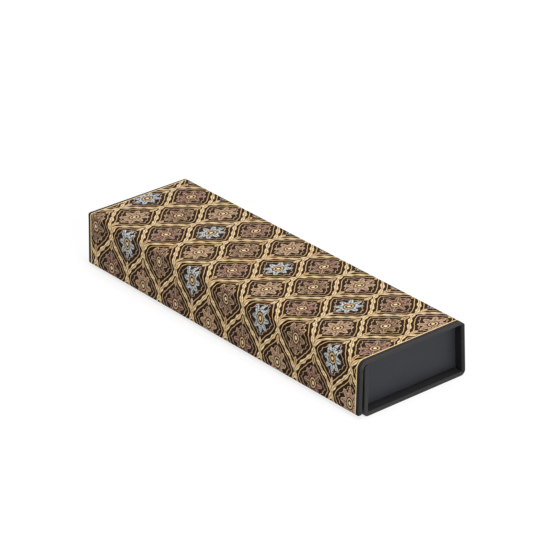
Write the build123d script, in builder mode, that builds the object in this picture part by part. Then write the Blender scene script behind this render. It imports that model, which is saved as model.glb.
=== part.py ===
from build123d import *
import os
from math import cos, hypot, radians, sin

# A hard pencil case: a tray of paper-covered board, glued into a wrap that goes round it as a book's
# cover does. The wrap is front wall, base, spine, lid and flap. The flap folds down over the front
# wall, where magnets hold it. X runs along the case, Y from the flap to the spine, and Z is up. The
# origin is on the table, under the middle of the shut case. Every wall is the same along X, so most
# pieces are sections in the YZ plane, extruded.

# Driving dimensions, in millimetres and degrees
LENGTH = 216.0
DEPTH = 70.6
HEIGHT = 31.0
BOARD = 2.0
TRAY_BOARD = 1.5
PAPER = 0.2
EDGE_RADIUS = 0.5
BODY_GAP = 0.3
FLAP_GAP = 0.6
FOLD_RADIUS = 4.5
FLAP_LEAN = 1.6
FLAP_LIFT = 1.9
FLAP_CORNER = 1.0
FRONT_CORNER = 2.6
FRONT_RIM = 1.8
SPINE_CORNER = 3.0
SPINE_LEAN = 1.5
HINGE_RUN = 3.1
END_RECESS = 4.7
LINING_INSET = 3.0
MAGNET_RADIUS = 5.0
MAGNET_THICKNESS = 1.5
MAGNET_CLEARANCE = 0.1
MAGNET_X = 62.0
MAGNET_Z = 10.5
FOLD_SCORES = 5
SCORE_DEPTH = 1.3
SCORE_WIDTH = 0.25

# Worked out from them
PANEL = BOARD + 2 * PAPER
WRAP = PAPER + BOARD
LINER = WRAP + TRAY_BOARD
HALF = LENGTH / 2
LEAN = radians(FLAP_LEAN)
SPINE_TOP = HEIGHT - PANEL
WALL_TOP = SPINE_TOP - BODY_GAP
RIM_BOARD_TOP = WALL_TOP - PAPER
FOLD_Z = HEIGHT - FOLD_RADIUS
FLAP_WIDTH = (FOLD_Z + FOLD_RADIUS * sin(LEAN) - FLAP_LIFT) / cos(LEAN)
FOLD_Y = -DEPTH / 2 + FOLD_RADIUS * cos(LEAN) + FLAP_WIDTH * sin(LEAN)
FRONT_FACE = FOLD_Y - (FOLD_RADIUS - PANEL) * cos(LEAN) + FLAP_GAP
LID_BACK = DEPTH / 2 - SPINE_LEAN - HINGE_RUN
POCKET_RADIUS = MAGNET_RADIUS + MAGNET_CLEARANCE
TRAY_END = HALF - END_RECESS
TRAY_END_BOARD = TRAY_END - PAPER
TRAY_INSIDE = TRAY_END_BOARD - TRAY_BOARD

LID_PLANE = Plane(origin=(0, FOLD_Y, HEIGHT), x_dir=(1, 0, 0), z_dir=(0, 0, 1))
FLAP_PLANE = Plane(
    origin=(0, FOLD_Y - FOLD_RADIUS * cos(LEAN), FOLD_Z + FOLD_RADIUS * sin(LEAN)),
    x_dir=(-1, 0, 0),
    z_dir=(0, -cos(LEAN), sin(LEAN)),
)


def spine_y(height, inset=0.0):
    """Y of the leaning spine at a height, inset in from its outer face."""
    lean = SPINE_LEAN / SPINE_TOP
    return DEPTH / 2 - lean * height - inset * hypot(1, lean)


def finish_part(part, name):
    """Names a finished piece and writes it."""
    part.label = name
    export_step(part, f"parts/{name}.step")


def wrap_solid(inset):
    """Front wall, base and spine in one, inset in from the covered faces, rims and ends all round."""
    inner = PANEL - inset
    front_top = WALL_TOP - inset
    corners = [
        (FRONT_FACE + inset, front_top, FRONT_RIM - inset),
        (FRONT_FACE + inset, inset, FRONT_CORNER - inset),
        (spine_y(inset, inset), inset, SPINE_CORNER - inset),
        (spine_y(SPINE_TOP, inset), SPINE_TOP, 0),
        (spine_y(SPINE_TOP, inner), SPINE_TOP, 0),
        (spine_y(inner, inner), inner, 0),
        (FRONT_FACE + inner, inner, 0),
        (FRONT_FACE + inner, front_top, EDGE_RADIUS - inset),
    ]
    with BuildPart() as wrap:
        with BuildSketch(Plane.YZ):
            with BuildLine():
                FilletPolyline(
                    *[(y, z) for y, z, _ in corners],
                    radius=[r for _, _, r in corners],
                    close=True,
                )
            make_face()
        extrude(amount=HALF - inset, both=True)
        end_edges = wrap.faces().filter_by(Axis.X).edges()
        fillet([e for e in end_edges if e.center().Z < SPINE_TOP - PAPER / 2], EDGE_RADIUS - inset)
    return wrap.part


def tray_region(inset, low, high, x_from, x_to):
    """The block between two heights and two X, inset in from the outer faces of front wall and spine."""
    with BuildPart() as region:
        with BuildSketch(Plane.YZ.offset(x_from)):
            with BuildLine():
                Polyline(
                    (FRONT_FACE + inset, low),
                    (spine_y(low, inset), low),
                    (spine_y(high, inset), high),
                    (FRONT_FACE + inset, high),
                    close=True,
                )
            make_face()
        extrude(amount=x_to - x_from)
    return region.part


def panel_solid(plane, width, inset, free_edge):
    """A flat panel under its plane, inset in from faces and ends, and from a free far edge."""
    reach = width - inset if free_edge else width
    with BuildPart() as panel:
        with BuildSketch(plane.offset(-inset)):
            with Locations((0, reach / 2)):
                Rectangle(LENGTH - 2 * inset, reach)
        extrude(amount=-(PANEL - 2 * inset))
        along = Axis(plane.origin, plane.y_dir)
        if free_edge:
            far_face = panel.faces().sort_by(along)[-1]
            fillet(far_face.edges().filter_by(Axis(plane.origin, plane.z_dir)), FLAP_CORNER - inset)
            rim_face = panel.faces().filter_by(Axis(plane.origin, plane.z_dir))
            joined = rim_face.edges().filter_by(Axis.X).sort_by(along)[:2]
            soft_edges = [e for e in rim_face.edges() if e not in joined]
        else:
            soft_edges = panel.edges().filter_by(along)
        fillet(soft_edges, EDGE_RADIUS - inset)
    return panel.part


def lining_solid(plane, width, free_edge):
    """The lining sheet on the inner face of a flat panel, short of its turned-in edges."""
    reach = width - LINING_INSET if free_edge else width
    with BuildPart() as lining:
        with BuildSketch(plane.offset(PAPER - PANEL)):
            with Locations((0, reach / 2)):
                Rectangle(LENGTH - 2 * LINING_INSET, reach)
        extrude(amount=-PAPER)
    return lining.part


def fold_profile(r_inner, r_outer):
    """Section of the round fold between lid and flap, between two radii."""
    sweep = 90 - FLAP_LEAN
    with BuildSketch(Plane.YZ) as profile:
        with BuildLine():
            outside = CenterArc((FOLD_Y, FOLD_Z), r_outer, 90, sweep)
            inside = CenterArc((FOLD_Y, FOLD_Z), r_inner, 90, sweep)
            Line(outside @ 0, inside @ 0)
            Line(outside @ 1, inside @ 1)
        make_face()
    return profile.sketch


def fold_solid(inset):
    """The round fold, inset in from its faces and ends."""
    with BuildPart() as fold:
        profile = fold_profile(FOLD_RADIUS - PANEL + inset, FOLD_RADIUS - inset)
        extrude(profile, amount=HALF - inset, both=True)
        fillet(fold.edges().filter_by(GeomType.CIRCLE), EDGE_RADIUS - inset)
    return fold.part


def hinge_solid(inset):
    """The narrow slanted fold between lid and spine, inset in from its slanted face and its ends."""
    slant = hypot(spine_y(SPINE_TOP) - LID_BACK, PANEL)
    drop = inset * slant / (spine_y(SPINE_TOP) - LID_BACK)
    run = inset * slant / PANEL
    with BuildPart() as hinge:
        with BuildSketch(Plane.YZ):
            with BuildLine():
                Polyline(
                    (LID_BACK, HEIGHT - drop),
                    (LID_BACK, SPINE_TOP),
                    (spine_y(SPINE_TOP) - run, SPINE_TOP),
                    close=True,
                )
            make_face()
        extrude(amount=HALF - inset, both=True)
        slanted_face = hinge.faces().sort_by(Axis((0, 0, 0), (0, PANEL, HINGE_RUN)))[-1]
        fillet(slanted_face.edges().filter_by(Axis.X, reverse=True), EDGE_RADIUS - inset)
    return hinge.part


def disc_behind(plane, radius, side):
    """A disc, or the pocket for one, sunk behind plane: side +1 is near, and -1 is far."""
    with BuildPart() as disc:
        with BuildSketch(plane):
            with Locations((side * MAGNET_X, 0)):
                Circle(radius)
        extrude(amount=-MAGNET_THICKNESS)
    return disc.part


os.makedirs("parts", exist_ok=True)

# Wrap, fixed part: the boards meet in mitres at the two lower corners, and the papers part there
wrap_covered = wrap_solid(0)
wrap_boards = wrap_solid(PAPER)
tray_space = tray_region(WRAP, WRAP, HEIGHT, -TRAY_END, TRAY_END)
keeper_plane = Plane(origin=(0, FRONT_FACE + PAPER, MAGNET_Z), x_dir=(1, 0, 0), z_dir=(0, -1, 0))
keeper_pockets = [disc_behind(keeper_plane, POCKET_RADIUS, side) for side in (1, -1)]

OVER = DEPTH
leg_outlines = {
    "front_wall": [
        (FRONT_FACE - PANEL, -PANEL),
        (0, -FRONT_FACE),
        (0, OVER),
        (-OVER, OVER),
        (-OVER, -PANEL),
    ],
    "base": [
        (FRONT_FACE - PANEL, -PANEL),
        (FRONT_FACE + 2 * PANEL, 2 * PANEL),
        (DEPTH / 2 - 2 * PANEL, 2 * PANEL),
        (DEPTH / 2 + PANEL, -PANEL),
    ],
    "spine": [
        (DEPTH / 2 + PANEL, -PANEL),
        (0, DEPTH / 2),
        (0, OVER),
        (OVER, OVER),
        (OVER, -PANEL),
    ],
}
for leg, outline in leg_outlines.items():
    with BuildPart() as leg_zone:
        with BuildSketch(Plane.YZ):
            with BuildLine():
                Polyline(*outline, close=True)
            make_face()
        extrude(amount=LENGTH, both=True)

    with BuildPart() as leg_board:
        add(wrap_boards)
        add(leg_zone.part, mode=Mode.INTERSECT)
        if leg == "front_wall":
            add(keeper_pockets, mode=Mode.SUBTRACT)
    finish_part(leg_board.part, f"{leg}_board")

    with BuildPart() as leg_paper:
        add(wrap_covered)
        add(wrap_boards, mode=Mode.SUBTRACT)
        add(tray_space, mode=Mode.SUBTRACT)
        add(leg_zone.part, mode=Mode.INTERSECT)
    finish_part(leg_paper.part, f"{leg}_cover_paper")

# Tray: floor and long walls between two end walls, standing on the base board
finish_part(tray_region(WRAP, WRAP, LINER, -TRAY_INSIDE, TRAY_INSIDE), "tray_floor_board")
tray_room = tray_region(LINER, 0, HEIGHT, -LENGTH, LENGTH)
tray_walls = {"front": Align.MAX, "back": Align.MIN}
for wall, side in tray_walls.items():
    with BuildPart() as wall_board:
        add(tray_region(WRAP, LINER, RIM_BOARD_TOP, -TRAY_INSIDE, TRAY_INSIDE))
        add(tray_room, mode=Mode.SUBTRACT)
        Box(LENGTH, DEPTH, 2 * HEIGHT, align=(Align.CENTER, side, Align.CENTER), mode=Mode.INTERSECT)
    finish_part(wall_board.part, f"tray_{wall}_board")

    with BuildPart() as wall_lining:
        add(tray_region(WRAP, LINER + PAPER, WALL_TOP, -TRAY_INSIDE, TRAY_INSIDE))
        add(tray_region(WRAP, 0, RIM_BOARD_TOP, -LENGTH, LENGTH), mode=Mode.SUBTRACT)
        add(tray_region(LINER, LINER + PAPER, WALL_TOP, -TRAY_INSIDE, TRAY_INSIDE))
        add(tray_region(LINER + PAPER, 0, HEIGHT, -LENGTH, LENGTH), mode=Mode.SUBTRACT)
        Box(LENGTH, DEPTH, 2 * HEIGHT, align=(Align.CENTER, side, Align.CENTER), mode=Mode.INTERSECT)
    finish_part(wall_lining.part, f"{wall}_lining")
finish_part(tray_region(LINER, LINER, LINER + PAPER, -TRAY_INSIDE, TRAY_INSIDE), "floor_lining")

for end, side in {"near": 1, "far": -1}.items():
    end_board = tray_region(WRAP, WRAP, RIM_BOARD_TOP, TRAY_INSIDE, TRAY_END_BOARD)
    with BuildPart() as end_paper:
        add(tray_region(WRAP, WRAP, WALL_TOP, TRAY_INSIDE, TRAY_END))
        add(end_board, mode=Mode.SUBTRACT)
        add(tray_region(LINER + PAPER, LINER + PAPER, WALL_TOP, TRAY_INSIDE - PAPER, TRAY_INSIDE))
    if side > 0:
        finish_part(end_board, f"tray_end_board_{end}")
        finish_part(end_paper.part, f"end_paper_{end}")
    else:
        finish_part(mirror(end_board, about=Plane.YZ), f"tray_end_board_{end}")
        finish_part(mirror(end_paper.part, about=Plane.YZ), f"end_paper_{end}")

# Lid: one flat panel between the round fold and the slanted hinge fold
lid_width = LID_BACK - FOLD_Y
lid_board = panel_solid(LID_PLANE, lid_width, PAPER, free_edge=False)
lid_lining = lining_solid(LID_PLANE, lid_width, free_edge=False)
with BuildPart() as lid_cover:
    add(panel_solid(LID_PLANE, lid_width, 0, free_edge=False))
    add([lid_board, lid_lining], mode=Mode.SUBTRACT)
finish_part(lid_board, "lid_board")
finish_part(lid_lining, "lid_lining")
finish_part(lid_cover.part, "lid_cover_paper")

# Slanted fold between lid and spine: paper outside, a strip of cloth behind it
hinge_cloth = hinge_solid(PAPER)
with BuildPart() as hinge_paper:
    add(hinge_solid(0))
    add(hinge_cloth, mode=Mode.SUBTRACT)
finish_part(hinge_cloth, "lid_hinge_cloth")
finish_part(hinge_paper.part, "lid_hinge_paper")

# Round fold between lid and flap: paper outside, scored board, and a strip of cloth inside
with BuildPart() as fold_cloth:
    cloth_inside = FOLD_RADIUS - PANEL
    extrude(fold_profile(cloth_inside, cloth_inside + PAPER), amount=HALF - LINING_INSET, both=True)
fold_core = fold_solid(PAPER)
with BuildPart() as fold_paper:
    add(fold_solid(0))
    add([fold_core, fold_cloth.part], mode=Mode.SUBTRACT)
with BuildPart() as fold_board:
    add(fold_core)
    score_step = (90 - FLAP_LEAN) / FOLD_SCORES
    with BuildSketch(Plane.YZ):
        with Locations((FOLD_Y, FOLD_Z)):
            with PolarLocations(
                cloth_inside + PAPER,
                FOLD_SCORES,
                start_angle=90 + score_step / 2,
                angular_range=score_step * (FOLD_SCORES - 1),
                endpoint=True,
            ):
                Rectangle(2 * SCORE_DEPTH, SCORE_WIDTH)
    extrude(amount=LENGTH, both=True, mode=Mode.SUBTRACT)
finish_part(fold_cloth.part, "flap_fold_cloth")
finish_part(fold_paper.part, "flap_fold_paper")
finish_part(fold_board.part, "flap_fold_board")

# Flap: one flat panel that leans out a little, with two magnets sunk in its board from inside
magnet_drop = (FLAP_PLANE.origin.Z - MAGNET_Z) / cos(LEAN)
flap_inside = Plane(
    origin=FLAP_PLANE.from_local_coords((0, magnet_drop, PAPER - PANEL)),
    x_dir=(1, 0, 0),
    z_dir=-FLAP_PLANE.z_dir,
)
flap_lining = lining_solid(FLAP_PLANE, FLAP_WIDTH, free_edge=True)
flap_core = panel_solid(FLAP_PLANE, FLAP_WIDTH, PAPER, free_edge=True)
with BuildPart() as flap_board:
    add(flap_core)
    add([disc_behind(flap_inside, POCKET_RADIUS, side) for side in (1, -1)], mode=Mode.SUBTRACT)
with BuildPart() as flap_cover:
    add(panel_solid(FLAP_PLANE, FLAP_WIDTH, 0, free_edge=True))
    add([flap_core, flap_lining], mode=Mode.SUBTRACT)
finish_part(flap_board.part, "flap_board")
finish_part(flap_lining, "flap_lining")
finish_part(flap_cover.part, "flap_cover_paper")

for end, side in {"near": 1, "far": -1}.items():
    finish_part(disc_behind(flap_inside, MAGNET_RADIUS, side), f"flap_magnet_{end}")
    finish_part(disc_behind(keeper_plane, MAGNET_RADIUS, side), f"keeper_disc_{end}")
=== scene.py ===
# %% [markdown]
# # A hard pencil case in printed paper
#
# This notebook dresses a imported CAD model. The case is made as a book's cover is: grey boards stand in a row,
# and paper is glued round them. The boards come from the CAD. The papers that show are made here, because
# paper needs a pattern that runs over the folds without a break, and edges as soft as glued paper has.
#
# Lengths below are in millimetres, and a mesh is scaled to metres as it is made.

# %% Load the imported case
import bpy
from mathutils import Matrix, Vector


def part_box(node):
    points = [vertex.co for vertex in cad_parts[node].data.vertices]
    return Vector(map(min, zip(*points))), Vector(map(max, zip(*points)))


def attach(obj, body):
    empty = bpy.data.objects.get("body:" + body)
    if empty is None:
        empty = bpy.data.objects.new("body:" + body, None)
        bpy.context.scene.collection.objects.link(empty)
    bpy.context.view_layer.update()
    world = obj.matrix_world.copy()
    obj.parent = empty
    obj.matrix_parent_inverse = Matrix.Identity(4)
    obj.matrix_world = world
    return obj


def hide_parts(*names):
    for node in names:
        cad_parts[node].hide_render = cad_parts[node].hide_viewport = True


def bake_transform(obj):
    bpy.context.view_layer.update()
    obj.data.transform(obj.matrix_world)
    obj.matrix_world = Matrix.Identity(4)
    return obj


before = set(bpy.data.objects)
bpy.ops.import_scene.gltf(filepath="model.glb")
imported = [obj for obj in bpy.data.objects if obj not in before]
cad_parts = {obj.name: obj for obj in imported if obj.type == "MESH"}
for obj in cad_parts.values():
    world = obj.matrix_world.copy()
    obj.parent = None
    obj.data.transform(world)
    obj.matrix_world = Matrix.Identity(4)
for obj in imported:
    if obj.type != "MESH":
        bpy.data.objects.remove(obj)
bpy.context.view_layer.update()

from functools import partialmethod
from math import cos, hypot, pi, radians, sin

import bpy
import numpy as np
from mathutils import Matrix, Vector

MM = 0.001

# %% [markdown]
# ## The measures of the case
#
# X runs along the case, Y from the flap to the spine, and Z is up. Every wall is the same along X, so a
# section in the YZ plane says nearly everything. These are the CAD model's own values, and the last line
# prints the lid paper's reach from the CAD and from here, side by side.

# %% Sizes of the boards, papers and folds
LENGTH, DEPTH, HEIGHT = 216.0, 70.6, 31.0
HALF = LENGTH / 2
BOARD, PAPER, EDGE_RADIUS = 2.0, 0.2, 0.5
INNER_RADIUS = 0.8
PANEL = BOARD + 2 * PAPER
LEAN_DEGREES = 1.6
LEAN = radians(LEAN_DEGREES)
FOLD_RADIUS = 4.5
FOLD_Z = HEIGHT - FOLD_RADIUS
FLAP_CLEAR = 1.9
FLAP_WIDTH = (FOLD_Z + FOLD_RADIUS * sin(LEAN) - FLAP_CLEAR) / cos(LEAN)
FOLD_Y = -DEPTH / 2 + FOLD_RADIUS * cos(LEAN) + FLAP_WIDTH * sin(LEAN)
FLAP_CORNER = 1.0
SPINE_TOP = HEIGHT - PANEL
SPINE_LEANS_IN = 1.5
SPINE_FOOT, SPINE_HEAD = DEPTH / 2, DEPTH / 2 - SPINE_LEANS_IN
SPINE_CORNER = 3.0
HINGE_DEPTH = 3.1
LID_BACK = SPINE_HEAD - HINGE_DEPTH
TURN_IN = 3.0
RECESS = 4.7
lid_low, lid_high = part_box("lid_cover_paper")
print("lid paper, CAD", lid_low.y / MM, lid_high.y / MM, "here", FOLD_Y, LID_BACK)

# %% [markdown]
# ## Camera
#
# The photograph was taken from far away with a long lens, which is why the case's edges hardly converge. The
# camera stands at azimuth 50 degrees and 27 degrees above the table, and rolls by a quarter of a degree.

# %% Place the camera
AZIMUTH, ELEVATION, ROLL = radians(50.2), radians(26.91), radians(-0.28)
TARGET = np.array((-22.33, 16.22, 15.51))
DISTANCE, FOCAL_PIXELS, IMAGE_PIXELS, SENSOR = 1478.4, 2850.6, 533, 36.0
back = np.array((sin(AZIMUTH) * cos(ELEVATION), -cos(AZIMUTH) * cos(ELEVATION), sin(ELEVATION)))
right = np.cross((0, 0, 1), back)
right /= np.linalg.norm(right)
up = np.cross(back, right)
across = right * cos(ROLL) + up * sin(ROLL)
upward = up * cos(ROLL) - right * sin(ROLL)
camera = bpy.data.objects.new("camera", bpy.data.cameras.new("camera"))
bpy.context.scene.collection.objects.link(camera)
camera.data.sensor_width = SENSOR
camera.data.lens = FOCAL_PIXELS / IMAGE_PIXELS * SENSOR
camera.data.clip_start, camera.data.clip_end = 0.05, 20
place = (TARGET + back * DISTANCE) * MM
view_axes = np.array((across, upward, back)).T
camera.matrix_world = Matrix([[*row, shift] for row, shift in zip(view_axes, place)] + [[0, 0, 0, 1]])
bpy.context.scene.camera = camera
print("lens", round(camera.data.lens, 1), "mm, camera at", place.round(3))

# %% [markdown]
# ## Helpers for node trees
#
# A printed pattern is arithmetic on the place on the sheet. Math nodes can do it, but a hundred of them are
# slow to write one by one. `Signal` wraps a socket so that a formula reads as a formula, and every sign in it
# adds one node.

# %% Signal: a socket that can be calculated with
class Signal:
    """A number that changes over a surface. Its arithmetic adds Math nodes to the tree."""

    def __init__(self, tree, socket):
        self.tree, self.socket = tree, socket

    def math(self, operation, *others, clamp=False):
        """Result of one Math node on this number and others."""
        node = new_node(self.tree, "Math", self, *others)
        node.operation, node.use_clamp = operation, clamp
        return Signal(self.tree, node.outputs[0])

    __add__ = __radd__ = partialmethod(math, "ADD")
    __sub__ = partialmethod(math, "SUBTRACT")
    __mul__ = __rmul__ = partialmethod(math, "MULTIPLY")
    __truediv__ = partialmethod(math, "DIVIDE")
    abs = partialmethod(math, "ABSOLUTE")
    cos = partialmethod(math, "COSINE")
    sin = partialmethod(math, "SINE")
    min = partialmethod(math, "MINIMUM")
    max = partialmethod(math, "MAXIMUM")

    def wrap(self, period):
        """This number less the nearest whole multiple of the period: between -period/2 and period/2."""
        return self.math("WRAP", period / 2, -period / 2)

    def below(self, limit, soft):
        """1 where this number is under the limit, 0 where it is over it, with a ramp 2 x soft wide."""
        ramp = new_node(self.tree, "MapRange", self, limit - soft, limit + soft, 1.0, 0.0)
        return Signal(self.tree, ramp.outputs["Result"])

    def line(self, centre, half_width, soft):
        """1 on a line where this number is near the centre value."""
        return (self - centre).abs().below(half_width, soft)

    def choose(self, when_zero, when_one):
        """Mix of two numbers by this one."""
        return when_zero + (when_one - when_zero) * self


print("Signal ready")

# %% Make and feed nodes, mix colours
def feed(tree, place, value):
    """Puts a number or colour on a socket, or links a Signal or socket to it."""
    if isinstance(value, Signal):
        tree.links.new(value.socket, place)
    elif isinstance(value, bpy.types.NodeSocket):
        tree.links.new(value, place)
    else:
        place.default_value = value


def new_node(tree, kind, *in_order, **by_name):
    """A shader node. Its first inputs get values in their order, and others get theirs by name."""
    node = tree.nodes.new("ShaderNode" + kind)
    for place, value in zip(node.inputs, in_order):
        feed(tree, place, value)
    for title, value in by_name.items():
        feed(tree, node.inputs[title], value)
    return node


def linear(red, green, blue):
    """A colour as it is read from a colour picker (0 to 255), in the linear values that shaders use."""
    parts = np.array((red, green, blue)) / 255
    curve = np.where(parts <= 0.04045, parts / 12.92, ((parts + 0.055) / 1.055) ** 2.4)
    return (*(float(c) for c in curve), 1.0)


def blend_colour(tree, amount, under, over):
    """Colour that goes from under to over as amount goes from 0 to 1."""
    node = new_node(tree, "Mix")
    node.data_type = "RGBA"
    feed(tree, node.inputs[0], amount)
    feed(tree, node.inputs[6], under)
    feed(tree, node.inputs[7], over)
    return node.outputs[2]


def noise(tree, place, scale, detail=2.0, roughness=0.5):
    """Noise from 0 to 1 at a place."""
    node = new_node(tree, "TexNoise", Vector=place, Scale=scale, Detail=detail, Roughness=roughness)
    return Signal(tree, node.outputs["Fac"])


print("node helpers ready")

# %% [markdown]
# ## Grain, weave and wear
#
# Paper has fibres, cloth has threads, and hands rub the edges of the printed sheets paler. Each of these is a
# node group, built once. A group gives out heights and masks only, and the material's own shader turns them
# into a look.

# %% Helpers for node groups
def new_group(name, inputs, outputs):
    """A node group with number inputs, given as name: default, and number outputs."""
    tree = bpy.data.node_groups.new(name, "ShaderNodeTree")
    for title, default in inputs.items():
        entrance = tree.interface.new_socket(title, in_out="INPUT", socket_type="NodeSocketFloat")
        entrance.default_value = default
    for title in outputs:
        tree.interface.new_socket(title, in_out="OUTPUT", socket_type="NodeSocketFloat")
    entry, leave = tree.nodes.new("NodeGroupInput"), tree.nodes.new("NodeGroupOutput")
    return tree, {t: Signal(tree, entry.outputs[t]) for t in inputs}, leave


def object_place(tree):
    """Object coordinates, in metres."""
    return new_node(tree, "TexCoord").outputs["Object"]


def wear_and_sheen_attribute(tree):
    """The attribute `edge` of a mesh, which says how worn a place is and how much painted sheen it gets."""
    node = new_node(tree, "Attribute")
    node.attribute_name = "edge"
    return Signal(tree, node.outputs["Fac"])


def stretched(tree, place, factors):
    """A place, scaled by a factor along each axis."""
    node = new_node(tree, "VectorMath", place, factors)
    node.operation = "MULTIPLY"
    return node.outputs[0]


print("group helpers ready")

# %% Grain of paper
grain, _, grain_out = new_group("paper_grain", {}, ("Height", "Tone"))
here = object_place(grain)
long_fibres = noise(grain, stretched(grain, here, (0.35, 1.0, 1.0)), 5200, 3.0, 0.6)
pulp = noise(grain, here, 1500, 4.0, 0.55)
clouds = noise(grain, here, 90, 2.0, 0.5)
feed(grain, grain_out.inputs["Height"], long_fibres * 0.55 + pulp * 0.45)
feed(grain, grain_out.inputs["Tone"], pulp * 0.35 + long_fibres * 0.25 + clouds * 0.4)
print(grain.name, len(grain.nodes), "nodes")

# %% Weave of cloth
weave, _, weave_out = new_group("cloth_weave", {}, ("Height", "Tone"))
THREAD = 0.00034
axes = new_node(weave, "SeparateXYZ", object_place(weave))
warp = (Signal(weave, axes.outputs[0]) * (2 * pi / THREAD)).sin()
weft = ((Signal(weave, axes.outputs[1]) + Signal(weave, axes.outputs[2])) * (2 * pi / THREAD)).sin()
over = warp * weft
feed(weave, weave_out.inputs["Height"], over * 0.3 + noise(weave, object_place(weave), 2600) * 0.4 + 0.3)
feed(weave, weave_out.inputs["Tone"], over * 0.25 + noise(weave, object_place(weave), 700) * 0.5 + 0.25)
print(weave.name, len(weave.nodes), "nodes")

# %% Rubbed edges
rub, rub_in, rub_out = new_group("rubbed_edges", {"Amount": 0.5}, ("Mask",))
patches = noise(rub, object_place(rub), 420, 4.0, 0.65)
streaks = noise(rub, stretched(rub, object_place(rub), (1.0, 0.25, 0.25)), 1900, 2.0, 0.5)
rubbed = wear_and_sheen_attribute(rub) * (patches * 1.6 + streaks * 0.8 - 0.75).max(0.0)
feed(rub, rub_out.inputs["Mask"], rubbed.math("MULTIPLY", rub_in["Amount"], clamp=True))
print(rub.name, len(rub.nodes), "nodes")

# %% Place a group, start a material, add bump
def place_group(tree, group, **values):
    """Places a node group in a tree and returns its outputs by name."""
    node = tree.nodes.new("ShaderNodeGroup")
    node.node_tree = group
    for title, value in values.items():
        node.inputs[title].default_value = value
    return {o.name: Signal(tree, o) for o in node.outputs}


def new_material(name, roughness, specular=0.5):
    """An empty material: its tree, and the Principled BSDF that its nodes feed."""
    material = bpy.data.materials.new(name)
    material.use_nodes = True
    tree = material.node_tree
    shader = tree.nodes["Principled BSDF"]
    shader.inputs["Roughness"].default_value = roughness
    shader.inputs["Specular IOR Level"].default_value = specular
    return material, tree, shader


def add_bump(tree, shader, height, distance):
    """Feeds the shader's Normal from a height, which stands up by distance in metres."""
    bump = new_node(tree, "Bump", Distance=distance, Height=height)
    tree.links.new(bump.outputs[0], shader.inputs["Normal"])


print("material helpers ready")

# %% [markdown]
# ## The plain finishes
#
# The tray's ends are black paper, and so is the cover of base and front wall, which is a shade more neutral.
# The inside is lined with plum-brown paper, the strips inside the folds are black cloth, and the boards are
# grey. The discs behind the paper are nickel-plated. All but the discs are matt.

# %% Make the plain materials
def plain_finish(name, group, dark, light, roughness, bump, specular=0.5):
    """A matt finish between a dark and a light tone, with a group's grain or weave."""
    material, tree, shader = new_material(name, roughness, specular)
    effect = place_group(tree, group)
    tree.links.new(blend_colour(tree, effect["Tone"], dark, light), shader.inputs["Base Color"])
    feed(tree, shader.inputs["Roughness"], effect["Tone"] * 0.16 + (roughness - 0.08))
    add_bump(tree, shader, effect["Height"], bump)
    return material


PAPER_BUMP, BLACK_SHINE = 0.00004, 0.24
black_paper = plain_finish("matt_black_paper", grain, linear(33, 34, 38), linear(50, 52, 57), 0.5, PAPER_BUMP,
                           BLACK_SHINE)
cover_paper = plain_finish("matt_cover_paper", grain, linear(33, 33, 33), linear(51, 51, 50), 0.5, PAPER_BUMP,
                           BLACK_SHINE)
lining_paper = plain_finish("matt_lining_paper", grain, linear(62, 40, 40), linear(88, 60, 56), 0.62,
                            PAPER_BUMP)
black_cloth = plain_finish("matt_black_cloth", weave, linear(26, 25, 26), linear(56, 54, 55), 0.75, 0.00008)
greyboard = plain_finish("bare_greyboard", grain, linear(120, 112, 100), linear(160, 152, 138), 0.85, 0.0001)
disc_metal = plain_finish(
    "matt_disc_metal", grain, linear(150, 150, 152), linear(196, 196, 198), 0.32, 0.00001
)
disc_metal.node_tree.nodes["Principled BSDF"].inputs["Metallic"].default_value = 1.0
print("materials:", [m.name for m in bpy.data.materials if m.name.startswith(("matt", "bare"))])

# %% [markdown]
# ## The printed paper
#
# The print is an ogee net, which weavers have used for centuries: gold bands swing to and fro like sine
# waves, and each touches its neighbours in turn, so that the cells between them are pointed ovals in a
# half-drop repeat. Each cell holds a rosette with eight petals inside two contour lines. The rosettes come in
# four inks: plum, silver, tan and brown.
#
# It is drawn on the sheet's own UV map, which is in metres of paper, so it runs over the folds as ink does.

# %% Read the place on the sheet, and shake it as a hand does
CELL_WIDTH, CELL_LENGTH = 27.0, 38.0
PRINT_SHIFT = 12.0
SHAKE = 1.1

printed_paper, tree, shader = new_material("ogee_printed_paper", 0.5, 0.04)
sheet_map = new_node(tree, "UVMap")
sheet_map.uv_map = "sheet"
split = new_node(tree, "SeparateXYZ", sheet_map.outputs[0])
u = Signal(tree, split.outputs[0]) * (1 / MM)
v = Signal(tree, split.outputs[1]) * (1 / MM)

hand = new_node(tree, "TexNoise", Vector=sheet_map.outputs[0], Scale=300, Detail=2.0)
shake = new_node(tree, "SeparateXYZ", hand.outputs["Color"])
x = u + (Signal(tree, shake.outputs[0]) - 0.5) * SHAKE
y = v + (Signal(tree, shake.outputs[1]) - 0.5) * SHAKE - PRINT_SHIFT
print("sheet map:", len(tree.nodes), "nodes")

# %% [markdown]
# A band swings as a wave that is part cosine and part zigzag. From it follow the cell that a point lies in,
# its place `a`, `b` from the cell's middle, and `inset`, its distance from the band at the cell's side.

# %% Draw the ogee net
ROUNDNESS = 0.68


def band_wave(along):
    """A wave from -1 to 1, with ROUNDNESS of a cosine and the rest of a zigzag, both one cell long."""
    zigzag = along.wrap(CELL_LENGTH).abs() * (-4 / CELL_LENGTH) + 1
    return (along * (2 * pi / CELL_LENGTH)).cos() * ROUNDNESS + zigzag * (1 - ROUNDNESS)


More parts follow.
